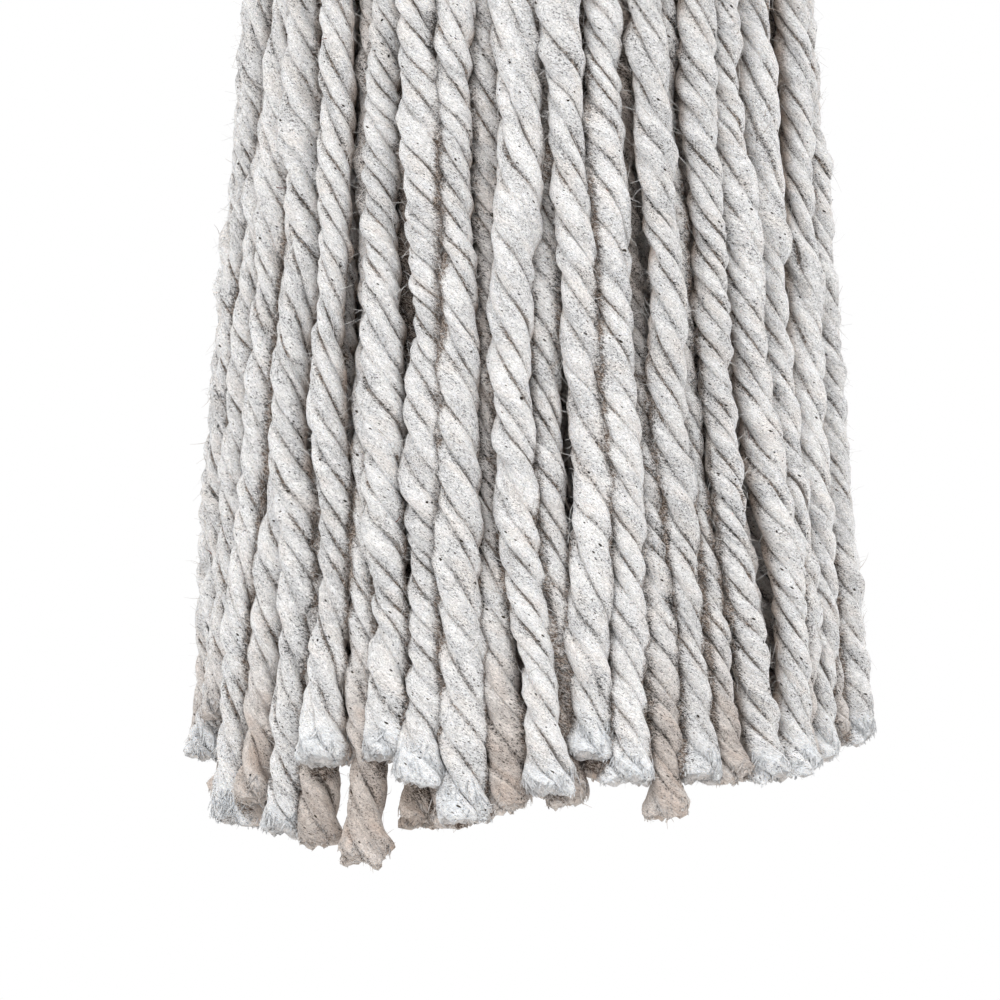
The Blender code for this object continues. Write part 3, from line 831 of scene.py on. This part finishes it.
def cotton():
    """Raw cotton yarn: fibre streaks along the plies, clouds, dark pores and husk specks, with shade painted
    dark along the creases and in the gaps between yarns.

    Shade is also painted on the yarns further inside the bunch and on their sides that face its middle, which
    are browner and darker.
    """
    n = Nodes("raw_cotton")
    mm = n.stretched(n.attribute("strand", "Vector"), (1000, 1000, 1000))
    painted_crease_shade, inside = n.attribute("crease"), n.attribute("inside")
    streak = n.noise(mm, (4.0, 1.1, 1.0), 3.0, 0.6)
    brush = n.noise(mm, (5.5, 0.6, 1.0), 3.0, 0.6)
    grain = n.noise(mm, 2.4, 2.0, 0.6)
    fine = n.noise(mm, 4.2, 1.0, 0.5)
    patches = n.noise(mm, (0.30, 0.16, 1.0), 2.0, 0.5)
    tints = n.noise(mm, (0.22, 0.16, 2.0), 1.0, 0.5)
    curls = n.noise(mm, 1.0, 2.0, 0.55)
    clouds, warm = n.ramp(patches, 0.42, 0.56), n.ramp(tints, 0.52, 0.66)
    pale = n.mix(clouds, rgb(0.78, 0.773, 0.775), rgb(0.85, 0.838, 0.832))
    pale = n.mix(warm, pale, rgb(0.83, 0.80, 0.78))
    # brown: colour of the shade painted on yarns deep in the bunch and on sides that face its middle.
    brown = n.mix(clouds, rgb(0.50, 0.42, 0.365), rgb(0.64, 0.56, 0.505))
    brown = n.mix(warm, brown, rgb(0.55, 0.44, 0.37))
    opened = n.ramp(n.attribute("opened"), 0.1, 0.8)
    opened = n.times(opened, n.ramp(patches, 0.35, 0.6, 0.5, 1.0))
    tuft = n.mix(n.ramp(brush, 0.36, 0.60), rgb(0.77, 0.775, 0.785), rgb(0.90, 0.91, 0.92))
    pale = n.mix(opened, pale, tuft)
    color = n.mix(inside, pale, brown)
    # Painted shade: a warm grey is mixed in along the creases and gaps, and dark pores grow denser there.
    color = n.mix(n.times(painted_crease_shade, 0.5), color, rgb(0.60, 0.535, 0.49))
    density = n.total(n.ramp(painted_crease_shade, 0.0, 0.6, -0.01, 0.10), n.ramp(patches, 0.38, 0.58, 0.035, -0.035))
    density = n.math("SUBTRACT", density, n.times(opened, 0.05))
    pores = n.ramp(n.total(fine, density), 0.57, 0.63, 0.0, -0.70)
    bold = n.ramp(n.total(grain, density), 0.46, 0.56, 0.25, 1.0)
    marks = n.times(n.ramp(n.off_middle(curls), 0.060, 0.020), bold)
    each_yarn = n.noise(mm, (0, 0, 3.7), 0.0)
    tone = n.total(n.ramp(streak, 0.36, 0.64, -0.12, 0.06), n.ramp(grain, 0.36, 0.64, -0.14, 0.06))
    tone = n.total(tone, n.ramp(fine, 0.38, 0.62, -0.20, 0.08), n.ramp(each_yarn, 0.3, 0.7, -0.05, 0.05))
    tone = n.total(tone, pores, n.times(marks, -0.30), 1.09)
    grey = n.add("CombineXYZ", {"X": tone, "Y": tone, "Z": tone}).outputs[0]
    color = n.mix(1.0, color, grey, "MULTIPLY")
    # Painted shade: dark brown, broken lines along the creases and in the gaps where yarns press, darker deep
    # in the bunch and crossed by lighter loose fibres.
    breaks = n.noise(mm, 1.5, 2.0, 0.6)
    ragged = n.total(painted_crease_shade, n.ramp(breaks, 0.36, 0.64, -0.30, 0.22), n.ramp(fine, 0.38, 0.62, 0.19, -0.23))
    dark = n.mix(inside, rgb(0.10, 0.066, 0.046), rgb(0.050, 0.031, 0.021))
    loose = n.ramp(n.off_middle(n.noise(mm, 1.9, 1.0, 0.5)), 0.065, 0.025, 0.0, 0.85)
    dark = n.mix(loose, dark, rgb(0.56, 0.48, 0.42))
    painted_shade_mask = n.ramp(ragged, 0.76, 0.90, 0.0, 0.92)
    color = n.mix(painted_shade_mask, color, dark)
    for scale, share, size in ((0.62, 0.87, 0.13), (1.1, 0.86, 0.14)):
        cells = n.add("TexVoronoi", {"Vector": mm, "Scale": scale})
        chosen = n.add("SeparateColor", {"Color": cells.outputs["Color"]}).outputs[0]
        chosen = n.ramp(chosen, share, share + 0.01)
        speck = n.ramp(cells.outputs["Distance"], size + 0.05, size)
        color = n.mix(n.times(chosen, speck), color, rgb(0.05, 0.04, 0.032))
    height = n.total(n.times(streak, 0.8), n.times(grain, 1.4))
    normal = n.bump(height, 0.8, 0.35 * MM)
    weight = n.ramp(painted_shade_mask, 0.0, 0.5, 0.6, 0.0)
    glow = {"Subsurface_Weight": weight, "Subsurface_Scale": 1.2 * MM, "Subsurface_Radius": (1.0, 0.9, 0.8)}
    return n.finish(Base_Color=color, Roughness=0.95, Normal=normal, Specular_IOR_Level=0.2, **glow)


def plain_fibre(name, color):
    n = Nodes(name)
    tone = n.mix(n.ramp(n.noise(n.place, 900.0), 0.3, 0.7), color, [c * 0.8 for c in color[:3]] + [1.0])
    return n.finish(Base_Color=tone, Roughness=0.9, Specular_IOR_Level=0.2)


def varnished_wood():
    """Turned softwood handle: long grain lines, growth bands, small pores and a thin varnish."""
    n = Nodes("varnished_wood")
    wavy = n.noise(n.place, (60, 60, 2.0), 3.0)
    bands = n.noise(n.place, (150, 150, 1.6), 6.0, 0.6)
    grain = n.noise(n.place, (1500, 1500, 18), 4.0, 0.6)
    color = n.mix(n.ramp(wavy, 0.35, 0.65), rgb(0.35, 0.19, 0.080), rgb(0.44, 0.26, 0.122))
    color = n.mix(n.ramp(bands, 0.46, 0.66, 0.0, 0.75), color, rgb(0.23, 0.11, 0.042))
    color = n.mix(n.ramp(grain, 0.56, 0.70, 0.0, 0.6), color, rgb(0.15, 0.075, 0.032))
    normal = n.bump(grain, 0.12, 0.2 * MM)
    rough = n.ramp(grain, 0.3, 0.8, 0.32, 0.5)
    return n.finish(Base_Color=color, Roughness=rough, Normal=normal, Coat_Weight=0.25)


def zinc_plate():
    """Bright zinc on sheet steel, with spinning marks, faint clouds and dull spots."""
    n = Nodes("zinc_plate")
    rings = n.noise(n.place, (4, 4, 2600), 3.0, 0.6)
    cloud = n.noise(n.place, 60.0, 4.0, 0.6)
    spots = n.noise(n.place, 420.0, 2.0)
    color = n.mix(n.ramp(cloud, 0.35, 0.65), rgb(0.45, 0.46, 0.48), rgb(0.58, 0.59, 0.60))
    color = n.mix(n.ramp(spots, 0.66, 0.75, 0.0, 0.5), color, rgb(0.42, 0.42, 0.41))
    rough = n.total(n.ramp(cloud, 0.3, 0.7, 0.26, 0.42), n.ramp(rings, 0.3, 0.7, -0.04, 0.06))
    normal = n.bump(rings, 0.08, 0.1 * MM)
    return n.finish(Base_Color=color, Metallic=1.0, Roughness=rough, Normal=normal)


def bolt_steel():
    n = Nodes("bolt_steel")
    cloud = n.noise(n.place, 300.0, 4.0, 0.6)
    color = n.mix(n.ramp(cloud, 0.35, 0.7), rgb(0.46, 0.46, 0.47), rgb(0.60, 0.60, 0.60))
    return n.finish(Base_Color=color, Metallic=1.0, Roughness=n.ramp(cloud, 0.3, 0.7, 0.24, 0.45))


def bright_wire():
    n = Nodes("bright_wire")
    scratches = n.noise(n.place, 900.0, 3.0, 0.7)
    color = n.mix(n.ramp(scratches, 0.4, 0.7), rgb(0.68, 0.69, 0.70), rgb(0.52, 0.52, 0.52))
    rough = n.ramp(scratches, 0.3, 0.7, 0.14, 0.3)
    return n.finish(Base_Color=color, Metallic=1.0, Roughness=rough)


def moulded_plastic():
    """Dark grey moulded plastic with a fine grained skin and a few rubbed patches."""
    n = Nodes("moulded_plastic")
    skin = n.noise(n.place, 2600.0, 2.0)
    rubbed = n.noise(n.place, (90, 90, 30), 5.0, 0.65)
    color = n.mix(n.ramp(rubbed, 0.5, 0.75), rgb(0.045, 0.048, 0.052), rgb(0.085, 0.088, 0.092))
    rough = n.ramp(rubbed, 0.35, 0.7, 0.5, 0.36)
    return n.finish(Base_Color=color, Roughness=rough, Normal=n.bump(skin, 0.2, 0.08 * MM))


def black_rubber():
    n = Nodes("black_rubber")
    skin = n.noise(n.place, 1500.0, 4.0, 0.7)
    color = n.mix(skin, rgb(0.02, 0.02, 0.02), rgb(0.05, 0.05, 0.048))
    return n.finish(Base_Color=color, Roughness=0.8, Normal=n.bump(skin, 0.3, 0.1 * MM))


def pale_floor():
    n = Nodes("pale_floor")
    color = n.mix(n.noise(n.place, 3.0), rgb(0.70, 0.70, 0.70), rgb(0.74, 0.74, 0.74))
    return n.finish(Base_Color=color, Roughness=0.7)


# ---------------- hardware

def thread_wave(z, angle):
    """From -1 at a thread's root to 1 at its crest."""
    wave = math.cos(2 * math.pi * z / THREAD_PITCH - angle)
    return math.tanh(2.2 * wave) / math.tanh(2.2)


def turned(name, outline, surface, segments=96, closed=True):
    """Smooth solid turned around Z from (radius, z) points, or (radius, z, thread's depth) ones."""
    mesh = bmesh.new()
    rings = []
    for radius, z, *depth in outline:
        angles = [2 * math.pi * step / segments for step in range(segments if radius > 0 else 1)]
        reach = [radius + depth[0] * thread_wave(z, a) if depth else radius for a in angles]
        rings.append([mesh.verts.new((r * math.cos(a), r * math.sin(a), z)) for r, a in zip(reach, angles)])
    for ring, following in zip(rings, rings[1:] + (rings[:1] if closed else [])):
        for step in range(segments):
            corners = [ring[step % len(ring)], ring[(step + 1) % len(ring)]]
            corners += [following[(step + 1) % len(following)], following[step % len(following)]]
            corners = list(dict.fromkeys(corners))
            if len(corners) > 2:
                mesh.faces.new(corners)
    bmesh.ops.recalc_face_normals(mesh, faces=mesh.faces[:])
    data = bpy.data.meshes.new(name)
    mesh.to_mesh(data)
    mesh.free()
    data.shade_smooth()
    data.set_sharp_from_angle(angle=math.radians(40))
    return placed(name, data, surface)


def in_metres(outline, base=0.0):
    """Outline in metres, from one in millimetres whose heights are above a base."""
    return [(r * MM, base + z * MM) for r, z in outline]


def rounded(outline, radius=0.5 * MM, steps=4):
    """Outline with each corner that isn't on the axis replaced by a short arc."""
    made = []
    corners = np.array(outline, float)
    for before, here, after in zip(np.roll(corners, 1, 0), corners, np.roll(corners, -1, 0)):
        sides = [(other - here, np.linalg.norm(other - here)) for other in (before, after)]
        reach = min(radius, *(0.45 * length for _, length in sides))
        if here[0] == 0 or reach < 1e-6:
            made.append(tuple(here))
            continue
        start, end = (here + side / length * reach for side, length in sides)
        for t in np.linspace(0, 1, steps):
            made.append(tuple(start * (1 - t) ** 2 + 2 * here * t * (1 - t) + end * t**2))
    return made


def make_bell(surface):
    """Spun bell with a smooth shoulder, a pressed step and a rolled rim."""
    outside = np.array(
        ((16.3, 15.6), (16.3, 9.5), (18.5, 7.2), (24, 4.6), (30, 0.5), (36, -6.5), (40.5, -16), (42.6, -26),
         (43.2, -30))
    )
    at = np.linspace(0, len(outside) - 1, 60)
    curve = np.column_stack([along_spline(outside[:, k], at) for k in (0, 1)])
    curve[:, 0] = np.maximum(curve[:, 0], 16.3)
    roll_angles = np.radians(np.linspace(80, -170, 12))
    roll = np.column_stack((43.2 + 1.15 * np.cos(roll_angles), -30.85 + 1.15 * np.sin(roll_angles)))
    inside = curve[::-1] - np.array((1.0, 0.6))
    inside[:, 0] = np.maximum(inside[:, 0], 15.3)
    inside[-1, 1] = 15.6
    outline = in_metres(np.concatenate((curve, roll, inside)), BASE_Z)
    fitted(turned("spun_bell", outline, surface, 128), "head", "zinc_plated_steel", "bell_skirt")


def make_folded_yarns(surface):
    """The folded middles of the yarns inside the bell: a ridge for each yarn, turned over the plate."""
    outline = ((4, -0.4), (12, -0.4), (22.5, -0.6), (28.5, -2.2), (34.2, -8.4), (38.4, -17), (40.2, -26))
    outline += ((40.4, -29.5), (30, -29.5), (30, -21.9), (4, -21.9))
    outline = rounded(in_metres(outline, BASE_Z), 2 * MM)
    piece = turned("folded_yarns", outline, surface, YARNS * 8)
    for vertex in piece.data.vertices:
        angle = math.atan2(vertex.co.y, vertex.co.x)
        inset = 0.7 * MM * (1 - abs(math.cos(angle * YARNS / 2)))
        shrink = 1 - inset / max(math.hypot(vertex.co.x, vertex.co.y), 1 * MM)
        vertex.co.x *= shrink
        vertex.co.y *= shrink
    fitted(piece, "head", "cotton_yarn", "yarn_fold")


def threaded(low, high, radius):
    """Outline with a thread of the CAD's pitch and phase between two plain ones."""
    rows = 20
    start, end = low[-1][1], high[0][1]
    count = round(abs(end - start) / THREAD_PITCH * rows)
    at = np.arange(count + 1)
    fade = np.clip(np.minimum(at, count - at) / (rows / 3), 0, 1)
    radii = low[-1][0] * (1 - fade) + radius * fade
    rings = list(zip(radii, np.linspace(start, end, count + 1), THREAD_DEPTH * fade))
    return low + rings[1:-1] + high


def make_threaded_sleeve(surface):
    """Sleeve with grip rings above its shoulder and the thread below it."""
    low, lip = (corner.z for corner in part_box("threaded_tip"))
    shoulder = low + 32 * MM
    inside, outer = SHAFT_RADIUS + GAP, 14.0 * MM
    upper = [(inside, SHAFT_LOW - GAP), (inside, lip), (outer - 0.7 * MM, lip), (outer, lip - 2 * MM)]
    for groove in range(5):
        z = lip - (5 + 2.2 * groove) * MM
        cut = outer - 0.35 * MM
        upper += [(outer, z), (cut, z - 0.5 * MM), (cut, z - 0.9 * MM), (outer, z - 1.4 * MM)]
    upper += [(outer, shoulder + 0.8 * MM), (outer - 0.8 * MM, shoulder)]
    root = 9.8 * MM
    above = [(0, SHAFT_LOW - GAP), *rounded(upper, 0.25 * MM, 3)[3:], (root, shoulder)]
    above.insert(1, (inside, SHAFT_LOW - GAP))
    below = [(root, low + 2 * MM), (8.9 * MM, low), (0, low)]
    outline = threaded(above, below, 10.4 * MM)
    piece = turned("threaded_sleeve", outline, surface, THREAD_SEGMENTS, closed=False)
    fitted(piece, "handle", "moulded_plastic", "threaded_tip")


def make_socket(surface):
    """Socket tube with its bead and its flange outside, and the thread inside above its floor."""
    mouth, bore, r = (MOUTH_Z - BASE_Z) / MM, 11.4, 15
    outer = [(bore + 0.6, mouth), (r - 0.6, mouth), (r, mouth - 0.6), (r, 20.5), (r + 1.1, 19.6)]
    outer += [(r + 1.4, 18.2), (r + 1.1, 16.8), (r, 15.9), (r, 2), (22, 2), (22, 0)]
    low = in_metres([(3.4, 0), (3.4, 3), (bore, 3)], BASE_Z)
    high = in_metres([(bore, mouth - 1)], BASE_Z) + rounded(in_metres(outer, BASE_Z), 0.35 * MM, 3)
    piece = turned("socket_tube", threaded(low, high, 10.8 * MM), surface, THREAD_SEGMENTS)
    fitted(piece, "head", "zinc_plated_steel", "screw_socket")


def make_handle(wood):
    r = SHAFT_RADIUS
    outline = [(0, SHAFT_HIGH), (r, SHAFT_HIGH), (r, SHAFT_LOW), (0, SHAFT_LOW)]
    piece = turned("wooden_handle", rounded(outline, 1 * MM), wood)
    fitted(piece, "handle", "handle_wood", "handle_shaft")


def make_cap(surface):
    """Hanger cap with a domed shoulder, grip rings and the bail's cross bore."""
    top, floor, r = (CAP_HIGH - CAP_LOW) / MM, (SHAFT_HIGH + GAP - CAP_LOW) / MM, 13.8
    inside = (SHAFT_RADIUS + GAP) / MM
    outline = [(0, top), (9.2, top), (12.4, top - 1.6), (r, top - 5)]
    for groove in range(4):
        z = 16 - 3.2 * groove
        outline += [(r, z), (r - 0.4, z - 0.6), (r - 0.4, z - 1.2), (r, z - 1.8)]
    outline += [(r, 3), (r + 0.6, 2), (r + 0.6, 0), (inside, 0), (inside, floor), (0, floor)]
    piece = turned("hanging_cap", rounded(in_metres(outline, CAP_LOW)), surface)
    bpy.ops.mesh.primitive_cylinder_add(
        vertices=32, radius=2.1 * MM, depth=0.04, location=(0, 0, PIN_Z), rotation=(0, math.pi / 2, 0)
    )
    cutter = bpy.context.object
    cut = piece.modifiers.new("bore", "BOOLEAN")
    cut.object = cutter
    bpy.context.view_layer.update()
    evaluated = piece.evaluated_get(bpy.context.evaluated_depsgraph_get())
    baked = bpy.data.meshes.new_from_object(evaluated)
    piece.modifiers.clear()
    piece.data = baked
    bpy.data.objects.remove(cutter)
    fitted(piece, "handle", "moulded_plastic", "hanger_cap")


def make_bail(surface):
    """Closed loop of round wire: the pin across the cap, two rounded corners and the half circle."""
    wire, half, corner = 1.6 * MM, 17 * MM, 5 * MM

    def arc(x, z, radius, start, end, steps):
        angles = np.radians(np.linspace(start, end, steps))
        return [(x + radius * math.cos(a), 0, z + radius * math.sin(a)) for a in angles]

    points = arc(half - corner, PIN_Z + corner, corner, -90, 0, 12)
    points += arc(0, wire - half, half, 0, 180, 48)
    points += arc(corner - half, PIN_Z + corner, corner, 180, 270, 12)
    data = bpy.data.curves.new("wire_bail", "CURVE")
    data.dimensions = "3D"
    data.bevel_depth = wire
    data.bevel_resolution = 8
    spline = data.splines.new("POLY")
    spline.points.add(len(points) - 1)
    for knot, point in zip(spline.points, points):
        knot.co = (*point, 1)
    spline.use_cyclic_u = True
    spline.use_smooth = True
    fitted(placed("wire_bail", data, surface), "hanger", "bail_wire", "hanger_bail")


def make_washer(surface):
    low, high = (corner.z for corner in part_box("joint_washer"))
    outline = [(11.4 * MM, high), (15 * MM, high), (15 * MM, low), (11.4 * MM, low)]
    piece = turned("rubber_washer", rounded(outline, 0.6 * MM), surface)
    fitted(piece, "washer", "washer_rubber", "joint_washer")


def make_rivet(surface):
    z = sum(corner.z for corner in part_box("tip_rivet")) / 2
    domed = [(0, 15.4), (1.2, 15.25), (2.2, 14.9), (3.0, 14.3), (3.0, 14.1), (1.6, 14.0)]
    outline = domed + [(r, -height) for r, height in domed[::-1]]
    piece = turned("steel_rivet", in_metres(outline), surface, 48)
    for vertex in piece.data.vertices:
        x, y, height = vertex.co
        vertex.co = (x, -height, y + z)
    fitted(piece, "handle", "fastener_steel", "tip_rivet")


def dress_inner_hardware(zinc, steel):
    surfaces = {"clamp_plate": zinc, "plain_washer": steel, "hex_nut": steel, "centre_bolt": steel}
    for name, surface in surfaces.items():
        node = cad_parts[name]
        node.data.materials.clear()
        node.data.materials.append(surface)


# ---------------- camera and light

def make_camera():
    data = bpy.data.cameras.new("camera")
    data.sensor_width = SENSOR
    data.lens = SENSOR * CAMERA_DISTANCE / VIEW_WIDTH
    data.clip_start, data.clip_end = 0.02, 60
    camera = placed("camera", data)
    camera.location = (-VIEW_LEFT, -CAMERA_DISTANCE - 50 * MM, LOWEST_Z + VIEW_ABOVE_LOWEST)
    camera.rotation_euler = (math.pi / 2, 0, 0)
    bpy.context.scene.camera = camera


def area_light(name, location, target, size, power):
    data = bpy.data.lights.new(name, "AREA")
    data.shape = "DISK"
    data.size = size
    data.energy = power
    light = placed(name, data)
    light.location = location
    light.rotation_euler = (Vector(target) - Vector(location)).to_track_quat("-Z", "Y").to_euler()


def make_world():
    """Even white surroundings, a little stronger as a light than as a backdrop."""
    world = bpy.data.worlds.new("studio")
    world.use_nodes = True
    bpy.context.scene.world = world
    tree = world.node_tree
    background = tree.nodes["Background"]
    background.inputs["Color"].default_value = rgb(1, 1, 1)
    path = tree.nodes.new("ShaderNodeLightPath")
    strength = tree.nodes.new("ShaderNodeMapRange")
    strength.inputs["To Min"].default_value = 1.12
    strength.inputs["To Max"].default_value = 1.0
    tree.links.new(path.outputs["Is Camera Ray"], strength.inputs["Value"])
    tree.links.new(strength.outputs["Result"], background.inputs["Strength"])


def make_studio():
    make_world()
    middle = (0, 0, LOWEST_Z + 0.1)
    area_light("key", (-0.7, -1.7, LOWEST_Z + 1.2), middle, 1.2, 6.5)
    area_light("fill", (1.2, -1.5, LOWEST_Z + 0.6), middle, 1.2, 6)
    area_light("handle_light", (-1.2, -1.6, -0.3), (0, 0, -0.6), 1.0, 5)
    below = (0, 0, LOWEST_Z - 0.55)
    bpy.ops.mesh.primitive_circle_add(vertices=96, radius=3, fill_type="NGON", location=below)
    floor = bpy.context.object
    floor.name = "floor"
    floor.data.materials.append(pale_floor())
    bpy.context.scene.view_settings.view_transform = "Standard"


def main():
    make_camera()
    yarn = cotton()
    fuzz = plain_fibre("cotton_fuzz", rgb(0.78, 0.77, 0.76))
    # Brown fuzz on the inner and core yarns: painted shade, like the yarns under it.
    shaded_inner_fuzz = plain_fibre("shaded_inner_fuzz", rgb(0.50, 0.43, 0.37))
    hair = plain_fibre("plant_hair", rgb(0.16, 0.05, 0.03))
    husk = plain_fibre("seed_husk", rgb(0.035, 0.028, 0.024))
    # Dark fibres that stand for fuzz in shadow: painted shade.
    shadow = plain_fibre("painted_shadow_fibre", rgb(0.30, 0.26, 0.235))
    drops, routes = yarn_routes()
    ring = ring_lines(routes)
    inner, depths = inner_lines(routes, drops)
    make_ring_yarns(ring, inner, (yarn, fuzz, hair, husk, shadow))
    make_inner_yarns(ring, inner, depths, (yarn, shaded_inner_fuzz, hair, husk))
    make_core_yarns(drops, (yarn, shaded_inner_fuzz))
    zinc, steel, plastic = zinc_plate(), bolt_steel(), moulded_plastic()
    make_bell(zinc)
    make_folded_yarns(yarn)
    make_socket(zinc)
    make_threaded_sleeve(plastic)
    make_handle(varnished_wood())
    make_cap(plastic)
    make_bail(bright_wire())
    make_washer(black_rubber())
    make_rivet(steel)
    dress_inner_hardware(zinc, steel)
    make_studio()


main()
